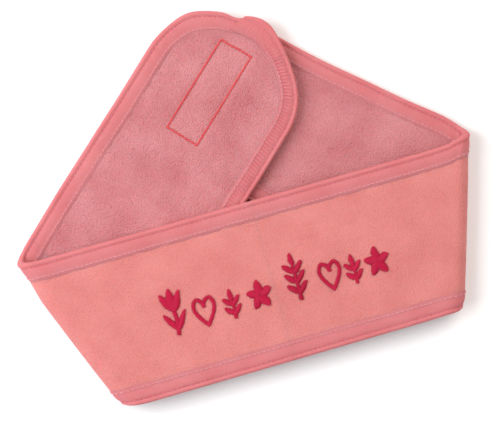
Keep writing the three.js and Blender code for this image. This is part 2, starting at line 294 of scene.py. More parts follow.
def mesh_of(name, points, quads, uv=None, normals=None, slots=None, materials=()):
    data = bpy.data.meshes.new(name)
    data.from_pydata(points.tolist(), [], quads.tolist())
    data.polygons.foreach_set("use_smooth", [True] * len(quads))
    for material in materials:
        data.materials.append(material)
    if slots is not None:
        data.polygons.foreach_set("material_index", slots)
    if uv is not None:
        layer = data.uv_layers.new(name="Band")
        index = np.zeros(len(data.loops), int)
        data.loops.foreach_get("vertex_index", index)
        layer.data.foreach_set("uv", (uv[index] / 1000).ravel())
    if normals is not None:
        data.normals_split_custom_set_from_vertices(normals.tolist())
    return data


def grid_quads(rows, columns, start=0, flip=False):
    i, j = np.meshgrid(np.arange(rows - 1), np.arange(columns - 1), indexing="ij")
    k = start + i * columns + j
    quads = np.stack([k, k + 1, k + columns + 1, k + columns], -1).reshape(-1, 4)
    return quads[:, ::-1] if flip else quads


# %% [markdown]
# ## Materials
# Two node groups give varying values only: the pile's height, and a colour that is partly uneven
# dye and partly painted shade, darker in the pile's valleys and in broad patches.
# Cloth and tape read the band's own map, so the pattern runs on from one piece to the next.
# Thread, hooks and loops read object space.

# %% Shared effects
def group(name, sockets):
    made = bpy.data.node_groups.new(name, "ShaderNodeTree")
    for label, way, kind, value in sockets:
        socket = made.interface.new_socket(label, in_out=way, socket_type=kind)
        if value is not None:
            socket.default_value = value
    return made, made.nodes.new("NodeGroupInput"), made.nodes.new("NodeGroupOutput")


def pile_group():
    g, i, o = group("Pile height", [
        ("Vector", "INPUT", "NodeSocketVector", None), ("Scale", "INPUT", "NodeSocketFloat", 900.0),
        ("Height", "OUTPUT", "NodeSocketFloat", None),
        ("Valleys", "OUTPUT", "NodeSocketFloat", None)])
    cells = g.nodes.new("ShaderNodeTexVoronoi")
    fine = g.nodes.new("ShaderNodeTexNoise")
    fine.inputs["Detail"].default_value = 3
    mix = g.nodes.new("ShaderNodeMath"); mix.operation = "MULTIPLY_ADD"
    mix.inputs[1].default_value = -0.9
    ramp = g.nodes.new("ShaderNodeMapRange")
    ramp.inputs["From Min"].default_value, ramp.inputs["From Max"].default_value = 0.35, 0.95
    for node in (cells, fine):
        g.links.new(i.outputs["Vector"], node.inputs["Vector"])
        g.links.new(i.outputs["Scale"], node.inputs["Scale"])
    g.links.new(cells.outputs["Distance"], mix.inputs[0])
    g.links.new(fine.outputs["Fac"], mix.inputs[2])
    g.links.new(mix.outputs[0], o.inputs["Height"])
    # Valleys is 1 in the hollows between the loops; the colour is darkened there, a painted shade
    g.links.new(cells.outputs["Distance"], ramp.inputs["Value"])
    g.links.new(ramp.outputs[0], o.inputs["Valleys"])
    return g


def dye_and_shade_group():
    g, i, o = group("Dye and painted shade", [
        ("Vector", "INPUT", "NodeSocketVector", None), ("Valleys", "INPUT", "NodeSocketFloat", 0.0),
        ("Light", "INPUT", "NodeSocketColor", (0.8, 0.5, 0.5, 1)),
        ("Deep", "INPUT", "NodeSocketColor", (0.7, 0.3, 0.3, 1)),
        ("Color", "OUTPUT", "NodeSocketColor", None)])
    # Broad lighter and darker patches: uneven dye, strengthened as painted shade and sheen where
    # the nap would catch the light
    broad = g.nodes.new("ShaderNodeTexNoise")
    broad.inputs["Scale"].default_value = 45
    broad.inputs["Detail"].default_value = 4
    # Painted shade: the pile's valleys pull the colour towards the Deep colour
    total = g.nodes.new("ShaderNodeMath"); total.operation = "MULTIPLY_ADD"
    total.inputs[1].default_value = 0.35
    total.use_clamp = True
    # Painted shade and sheen: the patches are strong enough to stand in for the shading on the
    # cloth's swells
    soft = g.nodes.new("ShaderNodeMapRange")
    soft.inputs["From Min"].default_value, soft.inputs["From Max"].default_value = 0.35, 0.75
    soft.inputs["To Max"].default_value = 0.6
    mix = g.nodes.new("ShaderNodeMix"); mix.data_type = "RGBA"
    g.links.new(i.outputs["Vector"], broad.inputs["Vector"])
    g.links.new(broad.outputs["Fac"], soft.inputs["Value"])
    g.links.new(i.outputs["Valleys"], total.inputs[0])
    g.links.new(soft.outputs[0], total.inputs[2])
    g.links.new(total.outputs[0], mix.inputs["Factor"])
    g.links.new(i.outputs["Light"], mix.inputs["A"])
    g.links.new(i.outputs["Deep"], mix.inputs["B"])
    g.links.new(mix.outputs["Result"], o.inputs["Color"])
    return g


PILE, DYE_AND_SHADE = pile_group(), dye_and_shade_group()


def srgb(*rgb):
    return tuple(((c / 255 + 0.055) / 1.055) ** 2.4 if c > 10 else c / 3294.6 for c in rgb) + (1,)


def cloth(name, light, deep, scale, bump, depth, rough=0.95, sheen=0.3, object_space=False,
          soft=0.3):
    m = bpy.data.materials.new(name)
    m.use_nodes = True
    n, l = m.node_tree.nodes, m.node_tree.links
    bsdf = n["Principled BSDF"]
    bsdf.inputs["Roughness"].default_value = rough
    bsdf.inputs["Sheen Weight"].default_value = sheen
    bsdf.inputs["Sheen Roughness"].default_value = 0.4
    bsdf.inputs["Sheen Tint"].default_value = light
    bsdf.inputs["Specular IOR Level"].default_value = 0.15
    bsdf.inputs["Subsurface Weight"].default_value = soft
    bsdf.inputs["Subsurface Radius"].default_value = (1.0, 0.25, 0.2)
    bsdf.inputs["Subsurface Scale"].default_value = 0.005
    where = n.new("ShaderNodeTexCoord") if object_space else n.new("ShaderNodeUVMap")
    out = where.outputs["Object" if object_space else "UV"]
    if not object_space:
        where.uv_map = "Band"
    pile, tint, bumped = n.new("ShaderNodeGroup"), n.new("ShaderNodeGroup"), n.new("ShaderNodeBump")
    pile.node_tree, tint.node_tree = PILE, DYE_AND_SHADE
    pile.inputs["Scale"].default_value = scale
    tint.inputs["Light"].default_value, tint.inputs["Deep"].default_value = light, deep
    bumped.inputs["Strength"].default_value, bumped.inputs["Distance"].default_value = bump, depth
    for node in (pile, tint):
        l.new(out, node.inputs["Vector"])
    l.new(pile.outputs["Valleys"], tint.inputs["Valleys"])
    l.new(pile.outputs["Height"], bumped.inputs["Height"])
    l.new(tint.outputs["Color"], bsdf.inputs["Base Color"])
    l.new(bumped.outputs["Normal"], bsdf.inputs["Normal"])
    return m


# Each material's second colour is mixed in at the pile's valleys (painted shade) and in broad
# patches (uneven dye and painted shade)
VELOUR = cloth("Velour pile", srgb(211, 132, 128), srgb(193, 108, 106), 1600, 0.7, 0.0005)
TERRY = cloth("Terry loops", srgb(211, 140, 143), srgb(184, 100, 105), 1500, 0.9, 0.0008)
TAPE = cloth("Binding tape", srgb(201, 119, 122), srgb(190, 100, 104), 2200, 0.4, 0.0003, 0.85)
# Sewing thread: redder than the tape, and made deeper still as painted shade, so the ladder's rungs
# read as the dark lines between its stitches
THREAD = cloth("Sewing thread", srgb(214, 100, 110), srgb(194, 70, 84), 4000, 0.3, 0.0002,
               0.6, 0.2, True)
DEEP = cloth("Closure thread", srgb(222, 84, 88), srgb(200, 58, 66), 4000, 0.3, 0.0002,
             0.6, 0.2, True)
PALE = cloth("Covering thread", srgb(222, 146, 150), srgb(208, 118, 124), 4000, 0.3, 0.0002,
             0.6, 0.2, True)
FLOSS = cloth("Embroidery floss", srgb(188, 26, 66), srgb(146, 12, 44), 5000, 0.3, 0.0001,
              0.42, 0.1, True, 0)
HOOKS = cloth("Moulded hooks", srgb(212, 150, 154), srgb(196, 122, 128), 2500, 0.2, 0.0002,
              0.5, 0.0, True)
LOOPS = cloth("Brushed loops", srgb(206, 134, 140), srgb(182, 98, 104), 1800, 0.8, 0.0004,
              0.9, 0.3, True)
print("materials", len(bpy.data.materials))

# %% [markdown]
# ## Cloth
# Two skins, closed at the edges. The pile side is almost smooth and the terry side has small
# loops, which are real bumps in the mesh. The skins swell between the two tapes.

# %% Cloth pieces
def nubs(s, v, pitch):
    """Bumps from 0 to 1 on a jittered lattice."""
    best = np.full(s.shape, 9.0)
    gs, gv = s / pitch, v / pitch
    for di in (-1, 0, 1):
        for dj in (-1, 0, 1):
            ci, cj = np.floor(gs) + di, np.floor(gv) + dj
            j1 = np.modf(np.abs(np.sin(ci * 127.1 + cj * 311.7) * 43758.5))[0]
            j2 = np.modf(np.abs(np.sin(ci * 269.5 + cj * 183.3) * 24634.6))[0]
            best = np.minimum(best, (gs - ci - j1) ** 2 + (gv - cj - j2) ** 2)
    return np.clip(1 - best * 1.3, 0, 1)


def swell(s, v, half):
    inner = np.clip(1 - (v / np.maximum(half - 6.6, 1e-3)) ** 2, 0, 1)
    return SKIN + 0.85 * inner ** 0.28 * np.clip((half - 8) / 12, 0, 1)


def pressed(s, v, fold, size):
    """How far the box stitching pulls the cloth in: a groove, and a flatter middle."""
    x = np.abs(fold["side"] * (s - fold["x"]) - size["u"]) - size["along"] / 2 + BOX_INSET
    y = np.abs(v - size["v"]) - size["across"] / 2 + BOX_INSET
    past = np.where((x > 0) & (y > 0), np.hypot(x, y), np.maximum(x, y))
    return 0.6 * hump(past, 1.6) + 0.3 * (past < 0) * np.clip(-past / 1.5, 0, 1)


HOOK = dict(u=146.5, v=3.75, along=55.5, across=20.0)
LOOP = dict(u=136.0, v=-1.0, along=48.0, across=20.0)
BOX_INSET = 1.1
STEP = 0.8
rows, marks = cloth_rows(STEP)
across = np.linspace(-1, 1, int(86 / STEP))
half_width = rows[:, 2:3]
V = half_width * across[None, :]
S = rows[:, 0:1] + rows[:, 1:2] * V
edge_soft = np.clip(half_width * (1 - np.abs(across[None, :])) / 3, 0, 1)
thick = swell(S, V, half_width)
face = thick + 0.05 * waves(S, V, 7, 21) * edge_soft
lining = thick + (0.16 * nubs(S, V, 1.2) - 0.08 + 0.08 * waves(S, V, 5, 23)) * edge_soft
lining -= pressed(S, V, LEFT, HOOK)
face -= pressed(S, V, RIGHT, LOOP)
top, under = band(S, V, face), band(S, V, -lining)


def normals_of(grid, sign):
    du, dv = np.gradient(grid, axis=0), np.gradient(grid, axis=1)
    return unit(np.cross(du, dv) * sign)


top_n, under_n = normals_of(top, 1), normals_of(under, -1)
probe = len(S) // 2
if top_n[probe, len(across) // 2, 2] < 0:
    top_n, under_n = -top_n, -under_n
uv_all = np.stack([S, V], -1)


def cloth_piece(name, first, last):
    part = slice(first, last + 1)
    r, c = last - first + 1, len(across)
    points = np.concatenate([top[part].reshape(-1, 3), under[part].reshape(-1, 3)])
    normals = np.concatenate([top_n[part].reshape(-1, 3), under_n[part].reshape(-1, 3)])
    uv = np.concatenate([uv_all[part].reshape(-1, 2)] * 2)
    size = r * c
    i, j = np.arange(r - 1), np.arange(c - 1)
    sides = [np.stack([i * c, (i + 1) * c, (i + 1) * c + size, i * c + size], 1),
             np.stack([i * c + c - 1 + size, (i + 1) * c + c - 1 + size,
                       (i + 1) * c + c - 1, i * c + c - 1], 1),
             np.stack([j + size, j + 1 + size, j + 1, j], 1),
             np.stack([j + (r - 1) * c, j + 1 + (r - 1) * c,
                       j + 1 + (r - 1) * c + size, j + (r - 1) * c + size], 1)]
    quads = np.concatenate([grid_quads(r, c, 0, True), grid_quads(r, c, size, False), *sides])
    slots = [0] * ((r - 1) * (c - 1)) + [1] * ((r - 1) * (c - 1)) + [1] * sum(map(len, sides))
    data = mesh_of(name, points, quads, uv, normals, slots, (VELOUR, TERRY))
    return add(name, data)


cut, mid = marks[2], marks[4]
cloth_A = cloth_piece("front_left_cloth", cut, mid)
cloth_B = cloth_piece("left_and_tab_cloth", 0, cut)
cloth_C = cloth_piece("front_right_and_rear_cloth", mid, len(rows) - 1)
print("cloth", [len(o.data.polygons) for o in (cloth_A, cloth_B, cloth_C)])

# %% [markdown]
# ## Fold-over tape
# One rounded section goes round the edges: a rolled rim, a groove where the needle pulls it in,
# a smooth strip and a low ridge of covering stitches. It puffs up between one stitch and the next.
# The four pieces make one loop, so length along the edge is counted on from piece to piece.

# %% Tape
PITCH, RUNG = 2.5, 1.8  # from one stitch to the next, along the seams and on the ladder
SIDE = [(10.3, 1.55), (10.35, 1.68), (10.0, 1.8), (9.5, 1.93), (9.0, 2.13), (8.6, 2.2), (8.2, 2.12),
        (7.6, 2.08), (6.8, 2.28), (5.3, 2.4), (4.0, 2.32), (3.2, 2.1), (2.75, 1.84), (2.3, 2.06),
        (1.6, 2.52), (0.9, 2.4), (0.3, 1.7), (0.0, 0.8)]
SECTION = SIDE + [(0.0, -0.8)] + [(d, -n) for d, n in SIDE[::-1][1:]] + [
    (8, -1.5), (4, -1.35), (1.4, -1.2), (1.0, -0.5), (1.0, 0.5), (1.4, 1.2), (4, 1.35), (8, 1.5)]
LAP_AT, LAP_LONG = 9.0, 28  # where the lap ends, off the tab's middle, and how long it is
EDGE_STEP = 0.62


def arc_length(stations, d=5.0):
    p = band(stations[:, 0] + stations[:, 2] * d, stations[:, 1] + stations[:, 3] * d, 0.0) * 1000
    return np.concatenate([[0], np.cumsum(np.linalg.norm(np.diff(p, axis=0), axis=1))])


EDGE = edge(EDGE_STEP)
EDGE["A_lower"] = EDGE["A_lower"][::-1]
ALONG, start = {}, 0.0
for name in ("C", "A_lower", "B", "A_upper"):
    ALONG[name] = arc_length(EDGE[name]) + start
    start = ALONG[name][-1]
tip = EDGE["B"]
is_tip = tip[:, 0] < LEFT["x"] - TAB_ROUND - 15
lap_first = int(np.argmin(np.where(is_tip, np.abs(tip[:, 1] - LAP_AT), 99)))
LAP_ALONG = ALONG["B"][lap_first]


def laddered(along):
    """1 along the tab's lower side, up to the lap, and 0 elsewhere."""
    before_lap = np.clip((LAP_ALONG - 2 - along) / 3, 0, 1)
    return before_lap * np.clip((along - ALONG["B"][0] - 30) / 10, 0, 1)


def tape_piece(name, stations, along, grow=0.0):
    """grow is how far every station stands proud of the plain tape."""
    d, n = np.array(SECTION).T[:, None, :]
    along, grow = along[:, None], np.reshape(grow, (-1, 1)) + 0 * along[:, None]
    wave = np.cos(along / PITCH * 2 * math.pi)
    puff = 0.09 * wave * hump(d - 2.8, 1.2) + 0.08 * wave * hump(d - 8.6, 0.8)
    ladder = laddered(along) * (n < 0) * np.cos(along / RUNG * 2 * math.pi)
    puff = puff + 0.24 * ladder * np.clip(1 - np.abs(d - 6) / 3.2, 0, 1) ** 0.5
    rag = 0.1 * waves(along, d * 0.5, 9, 31)
    s = stations[:, 0:1] + stations[:, 2:3] * (d - grow)
    v = stations[:, 1:2] + stations[:, 3:4] * (d - grow)
    points = band(s, v, n + np.sign(n) * (np.abs(n) > 1.35) * (rag - puff + grow))
    r, c = points.shape[:2]
    i, j = np.meshgrid(np.arange(r - 1), np.arange(c), indexing="ij")
    k, q = i * c + j, i * c + (j + 1) % c
    quads = np.stack([k, q, q + c, k + c], -1).reshape(-1, 4)
    round_it = np.cumsum(np.hypot(np.diff(d[0], prepend=d[0, 0]), np.diff(n[0], prepend=n[0, 0])))
    uv = np.stack([np.repeat(along[:, 0], c), np.tile(round_it, r)], 1)
    data = mesh_of(name, points.reshape(-1, 3), quads, uv, None, None, (TAPE,))
    bm = bmesh.new()
    bm.from_mesh(data)
    ends = [edge for edge in bm.edges if edge.is_boundary]
    for face in bmesh.ops.holes_fill(bm, edges=ends, sides=0)["faces"]:
        face.smooth = False
    for edge in ends:
        edge.smooth = False
    bmesh.ops.recalc_face_normals(bm, faces=bm.faces)
    bm.to_mesh(data)
    bm.free()
    return add(name, data)


tape = {name: tape_piece(f"tape_{name}", EDGE[name], ALONG[name]) for name in EDGE}
# The tape's end lies over its start near the tip, cut on a slant, and thins out down the side.
lap_count = int(LAP_LONG / EDGE_STEP)
lap_rows = tip[lap_first - lap_count:lap_first + 1].copy()
lap_along = ALONG["B"][lap_first - lap_count:lap_first + 1]
from_end = LAP_ALONG - lap_along
slant = np.radians(30) * np.exp(-from_end / 5)
turned = np.stack([np.cos(slant), np.sin(slant)], 1)
ds, dv = lap_rows[:, 2].copy(), lap_rows[:, 3].copy()
lap_rows[:, 2] = ds * turned[:, 0] - dv * turned[:, 1]
lap_rows[:, 3] = ds * turned[:, 1] + dv * turned[:, 0]
lap = tape_piece("tape_lap", lap_rows, lap_along, 0.12 + 0.9 * (1 - from_end / from_end[0]) ** 1.3)
print("tape", {name: len(o.data.polygons) for name, o in tape.items()})

# %% [markdown]
# ## Stitches
# One geometry-nodes group lays a grain of thread on every point it is given, along the point's
# own direction. Seams, the box stitching, the embroidery and the hooks all use it.

# %% The repeat group
def repeat_group():
    g = bpy.data.node_groups.new("Lay along", "GeometryNodeTree")
    new = g.interface.new_socket
    new("Geometry", in_out="INPUT", socket_type="NodeSocketGeometry")
    for label, kind, value in [
            ("Piece", "NodeSocketObject", None), ("Length", "NodeSocketFloat", 1.0),
            ("Width", "NodeSocketFloat", 1.0), ("Height", "NodeSocketFloat", 1.0),
            ("Uneven", "NodeSocketFloat", 0.1), ("Seed", "NodeSocketInt", 1),
            ("Material", "NodeSocketMaterial", None)]:
        socket = new(label, in_out="INPUT", socket_type=kind)
        if value is not None:
            socket.default_value = value
    new("Geometry", in_out="OUTPUT", socket_type="NodeSocketGeometry")
    node, link = g.nodes.new, g.links.new
    i, o = node("NodeGroupInput"), node("NodeGroupOutput")

    def named(name, kind):
        made = node("GeometryNodeInputNamedAttribute")
        made.data_type = kind
        made.inputs["Name"].default_value = name
        return made.outputs["Attribute"]

    info = node("GeometryNodeObjectInfo")
    info.inputs["As Instance"].default_value = True
    turn = node("FunctionNodeAxesToRotation")
    turn.primary_axis, turn.secondary_axis = "X", "Z"
    uneven = node("FunctionNodeRandomValue")
    spread_low, spread_high = node("ShaderNodeMath"), node("ShaderNodeMath")
    spread_low.operation, spread_high.operation = "SUBTRACT", "ADD"
    spread_low.inputs[0].default_value = spread_high.inputs[0].default_value = 1
    size, scale = node("ShaderNodeCombineXYZ"), node("ShaderNodeVectorMath")
    scale.operation = "SCALE"
    long, lay = node("ShaderNodeMath"), node("GeometryNodeInstanceOnPoints")
    long.operation = "MULTIPLY"
    real, smooth, paint = (node("GeometryNodeRealizeInstances"), node("GeometryNodeSetShadeSmooth"),
                           node("GeometryNodeSetMaterial"))
    link(i.outputs["Piece"], info.inputs["Object"])
    link(named("along", "FLOAT_VECTOR"), turn.inputs[0])
    link(named("up", "FLOAT_VECTOR"), turn.inputs[1])
    link(i.outputs["Uneven"], spread_low.inputs[1])
    link(i.outputs["Uneven"], spread_high.inputs[1])
    link(spread_low.outputs[0], uneven.inputs[2])
    link(spread_high.outputs[0], uneven.inputs[3])
    link(i.outputs["Seed"], uneven.inputs["Seed"])
    link(i.outputs["Length"], long.inputs[0])
    link(named("size", "FLOAT"), long.inputs[1])
    link(long.outputs[0], size.inputs[0])
    link(i.outputs["Width"], size.inputs[1])
    link(i.outputs["Height"], size.inputs[2])
    link(size.outputs[0], scale.inputs[0])
    link(uneven.outputs[1], scale.inputs["Scale"])
    link(i.outputs["Geometry"], lay.inputs["Points"])
    link(info.outputs["Geometry"], lay.inputs["Instance"])
    link(turn.outputs[0], lay.inputs["Rotation"])
    link(scale.outputs[0], lay.inputs["Scale"])
    link(lay.outputs[0], real.inputs[0])
    link(real.outputs[0], smooth.inputs["Geometry"])
    link(smooth.outputs[0], paint.inputs["Geometry"])
    link(i.outputs["Material"], paint.inputs["Material"])
    link(paint.outputs[0], o.inputs[0])
    return g


LAY = repeat_group()


def grain(name, rings=5, sides=6):
    """A unit grain of thread along X: rounded ends, slightly arched."""
    x = np.cos(np.linspace(0, math.pi, rings + 2)[1:-1]) * 0.5
    r = np.sqrt(np.clip(1 - (2 * x) ** 4, 0.05, 1)) * 0.5
    a = np.arange(sides) * 2 * math.pi / sides
    points = [(0.5, 0, -0.12)]
    points += [(x[i], r[i] * math.cos(t), r[i] * math.sin(t) + 0.12 * (1 - 8 * x[i] ** 2))
               for i in range(rings) for t in a]
    points += [(-0.5, 0, -0.12)]
    faces = [(0, 1 + j, 1 + (j + 1) % sides) for j in range(sides)]
    for i in range(rings - 1):
        for j in range(sides):
            k, q = 1 + i * sides + j, 1 + i * sides + (j + 1) % sides
            faces.append((k, k + sides, q + sides, q))
    last = len(points) - 1
    faces += [(last, last - sides + (j + 1) % sides, last - sides + j) for j in range(sides)]
    data = bpy.data.meshes.new(name)
    data.from_pydata(points, [], faces)
    return bpy.data.objects.new(name, data)


GRAIN = grain("Thread grain")


def lay(name, points, along, up, size, length, width, height, material, piece=GRAIN, uneven=0.06,
        seed=4):
    data = bpy.data.meshes.new(name)
    data.from_pydata(np.asarray(points).tolist(), [], [])
    for label, values, kind in (("along", along, "FLOAT_VECTOR"), ("up", up, "FLOAT_VECTOR")):
        data.attributes.new(label, kind, "POINT").data.foreach_set("vector", np.ravel(values))
    data.attributes.new("size", "FLOAT", "POINT").data.foreach_set("value", np.ravel(size))
    obj = add(name, data)
    modifier = obj.modifiers.new("Lay", "NODES")
    modifier.node_group = LAY
    wanted = {"Piece": piece, "Length": length / 1000, "Width": width / 1000,
              "Height": height / 1000, "Uneven": uneven, "Seed": seed, "Material": material}
    for item in LAY.interface.items_tree:
        if item.item_type == "SOCKET" and item.name in wanted and item.in_out == "INPUT":
            modifier[item.identifier] = wanted[item.name]
    bpy.context.view_layer.update()
    done = bpy.data.meshes.new_from_object(
        obj.evaluated_get(bpy.context.evaluated_depsgraph_get()))
    obj.modifiers.remove(modifier)
    obj.data = done
    done.name = name
    return obj


def frame_on(s, v, n, side):
    """Points on the band with the direction to the next one and the way out of the cloth."""
    p = band(s, v, n)
    along, up = unit(np.gradient(p, axis=0)), unit(band(s, v, n + side * 0.5) - p)
    p[..., 2] = np.maximum(p[..., 2], 0.0004)  # the thread is pressed up where the band lies on it
    return p, along, up


def seam(name, d, n, side, pitch, keep=None):
    """Places every pitch along one edge, d in from it, in step with the tape's own puffs."""
    stations, along = EDGE[name], ALONG[name]
    s, v = stations[:, 0] + stations[:, 2] * d, stations[:, 1] + stations[:, 3] * d
    at = (np.arange(math.ceil(along[0] / pitch - 0.5), along[-1] / pitch - 0.5) + 0.5) * pitch
    if keep is not None:
        at = at[keep(at) > 0.5]
    if len(at) < 3:
        return None
    return frame_on(np.interp(at, along, s), np.interp(at, along, v), n, side)


def laid(name, sets, sizes, material):
    p, along, up = (np.concatenate([q[i] for q in sets]) for i in range(3))
    return lay(name, p, along, up, np.ones(len(p)), *sizes, material)


def seam_rows(name):
    """Needle rows in the groove and covering rows on the ridge, and the ladder on the tab."""
    needle = [seam(name, 2.75, side * 1.98, side, PITCH) for side in (1, -1)]
    covering = [seam(name, 8.6, side * 2.22, side, PITCH) for side in (1, -1)]
    made = [laid(f"needle_{name}", needle, (1.7, 0.5, 0.45), THREAD),
            laid(f"covering_{name}", covering, (2.2, 0.5, 0.42), PALE)]
    rungs = seam(name, 6.1, -2.36, -1, RUNG, laddered) if name == "B" else None
    if rungs:
        p, along, up = rungs
        made.append(laid(f"ladder_{name}", [(p, unit(np.cross(up, along) + 0.12 * along), up)],
                         (4.9, 0.5, 0.42), THREAD))
    return made


stitches = {name: seam_rows(name) for name in EDGE}
print("stitches", sum(len(o.data.polygons) for made in stitches.values() for o in made))

# %% [markdown]
# ## Embroidery
# Eight generic ornaments stand in a row. Each stroke is filled with satin stitches laid across it,
# close enough to touch.

# %% Ornaments
BASE, LARGE, SMALL, NARROW, STROKE = -13.5, 25.0, 16.5, 0.85, 2.2


def spline(points, count):
    p = np.array(points, float)
    p = np.concatenate([[2 * p[0] - p[1]], p, [2 * p[-1] - p[-2]]])
    t = np.linspace(0, len(points) - 1, count)
    i = np.minimum(t.astype(int), len(points) - 2)
    f = (t - i)[:, None]
    a, b, c, d = p[i], p[i + 1], p[i + 2], p[i + 3]
    return 0.5 * (2 * b + (c - a) * f + (2 * a - 5 * b + 4 * c - d) * f ** 2
                  + (3 * b - a - 3 * c + d) * f ** 3)


def line(points, wide=(1, 1)):
    return ("line", points, wide)


def leaf(x, y, angle, long, wide):
    return ("leaf", (x, y), angle, long, wide)


def both(points):
    return [[(x * side, y) for x, y in points] for side in (-1, 1)]


HEART = [(0.03, 0.03), (-0.1, 0.16), (-0.3, 0.42), (-0.38, 0.66), (-0.26, 0.88), (-0.07, 0.8),
         (0.03, 0.6)]
UP = math.pi / 2


def pairs(heights, long, wide):
    return [leaf(0, y, UP - side * 0.85, long, wide) for y in heights for side in (-1, 1)]


MOTIFS = {
    "tulip": [line([(-0.03, 0.01), (0.02, 0.25), (0, 0.54)], (0.8, 0.7)),
              leaf(0, 0.1, 0.95, 0.46, 0.16), leaf(0, 0.1, 2.2, 0.46, 0.16),
              leaf(0, 0.5, UP, 0.46, 0.24), leaf(-0.03, 0.5, UP + 0.5, 0.44, 0.2),
              leaf(0.03, 0.5, UP - 0.5, 0.44, 0.2)],
    "heart": [line(half) for half in both(HEART)],
    "fern": [line([(0, 0.01), (0.01, 0.4), (0, 0.8)], (0.8, 0.5)),
             *pairs([0.14, 0.36, 0.56], 0.34, 0.16), leaf(0, 0.72, UP, 0.26, 0.16)],
    "sprig": [line([(0, 0.02), (0.02, 0.3), (0, 0.6)], (0.9, 0.7)),
              *pairs([0.14, 0.42], 0.42, 0.22), leaf(0, 0.54, UP, 0.4, 0.22)],
    "blossom": [leaf(0.03 * math.cos(a), 0.5 + 0.03 * math.sin(a), a + 0.3, 0.44, 0.36)
                for a in np.arange(1, 6) * 2 * math.pi / 5],
}
ROW = [("tulip", -52.5, LARGE), ("heart", -37.3, SMALL), ("sprig", -23, SMALL),
       ("blossom", -8.4, SMALL), ("fern", 11.6, LARGE), ("heart", 29.2, SMALL),
       ("sprig", 41.5, SMALL), ("blossom", 54.1, SMALL)]
STRAND = 0.68  # from one satin strand to the next


def satin(motif, size):
    """Middles, directions and lengths of the stitches of one motif, in mm round its foot."""
    middles, across, lengths = [], [], []
    for part in MOTIFS[motif]:
        if part[0] == "line":
            fine = spline(part[1], 400) * [size * NARROW, size]
            length = np.concatenate([[0], np.cumsum(np.linalg.norm(np.diff(fine, axis=0), axis=1))])
            at = np.arange(0.1, length[-1], STRAND)
            p = np.stack([np.interp(at, length, fine[:, k]) for k in (0, 1)], 1)
            t = unit(np.gradient(p, axis=0))
            wide = STROKE * size / SMALL * np.interp(at / length[-1], [0, 1], part[2])
            wide = np.minimum(wide, 2.6)
            lean = 0.25
        else:
            _, (x, y), angle, long, wide_at = part
            u = np.arange(0.02, 0.98, STRAND / (long * size))
            t = np.array([[math.cos(angle), math.sin(angle)]]) * np.ones((len(u), 1))
            p = (np.array([x, y]) + t * (u * long)[:, None]) * [size * NARROW, size]
            full = np.sqrt(np.clip(1 - (2 * u - 1) ** 2, 0, 1))
            wide = wide_at * size * full * (1 - 0.4 * u ** 2)
            wide = np.maximum(wide, 0.6)
            lean = 0.45
        n = np.stack([-t[:, 1], t[:, 0]], 1)
        middles.append(p)
        across.append(unit(n + lean * t))
        lengths.append(wide * (1 + rng.uniform(-0.1, 0.1, len(p))))
    return np.concatenate(middles), np.concatenate(across), np.concatenate(lengths)


embroidery = []
for number, (motif, x, size) in enumerate(ROW, 1):
    p, t, wide = satin(motif, size)
    s, v = x + p[:, 0], BASE + p[:, 1]
    lift = swell(s, v, HALF - INSET) + 0.25
    order = rng.uniform(0, 0.22, len(s))
    at = band(s, v, lift + order)
    ahead = unit(band(s + t[:, 0] * 0.5, v + t[:, 1] * 0.5, lift) - band(s, v, lift))
    up = unit(band(s, v, lift + 0.5) - band(s, v, lift))
    embroidery.append(lay(f"embroidery_{number}", at, ahead, up, wide, 1.0, 0.8, 1.1, FLOSS,
                          uneven=0.04, seed=number))
print("embroidery", sum(len(o.data.polygons) for o in embroidery))

# %% [markdown]
# ## Hook and loop
# The box stitching shows on the terry of the tab. The hooks and loops are on the hidden sides and
# come into view when the tab peels up.

# %% Closure
def box_path(fold, size, inset):
    a, b = size["along"] / 2 - inset, size["across"] / 2 - inset
    corners = [(-a, -b), (a, -b), (a, b), (-a, b), (-a, -b)]
    s, v = [], []
    for (x0, y0), (x1, y1) in zip(corners, corners[1:]):
        k = (np.arange(0, math.hypot(x1 - x0, y1 - y0), 2.0) + 1) / math.hypot(x1 - x0, y1 - y0)
        k = k[k < 1]
        s.append(fold["x"] + fold["side"] * (size["u"] + x0 + (x1 - x0) * k))
        v.append(size["v"] + y0 + (y1 - y0) * k)
    return s, v


def box_stitch(name, fold, size, side):
    sets = []
    for s, v in zip(*box_path(fold, size, BOX_INSET)):
        n = side * (swell(s, v, HALF - INSET) - 0.36)
        sets.append(frame_on(s, v, n, side))
    p, along, up = (np.concatenate([q[i] for q in sets]) for i in range(3))
    return lay(name, p, along, up, np.ones(len(p)), 2.1, 1.05, 0.75, DEEP)


def field(fold, size, pitch, n, side, seed):
    r = np.random.default_rng(seed)
    x, y = np.meshgrid(np.arange(-size["along"] / 2 + 1, size["along"] / 2 - 0.8, pitch),
                       np.arange(-size["across"] / 2 + 1, size["across"] / 2 - 0.8, pitch))
    x, y = x.ravel(), y.ravel()
    s = fold["x"] + fold["side"] * (size["u"] + x + r.uniform(-0.15, 0.15, len(x)))
    v = size["v"] + y + r.uniform(-0.15, 0.15, len(x))
    p = band(s, v, n)
    up = unit(band(s, v, n + side * 0.5) - p)
    a = r.uniform(0, 6.28, len(x)) if seed > 20 else np.round(r.uniform(0, 1, len(x))) * math.pi
    along = unit(band(s + np.cos(a), v + np.sin(a), n) - p)
    return p, along, up


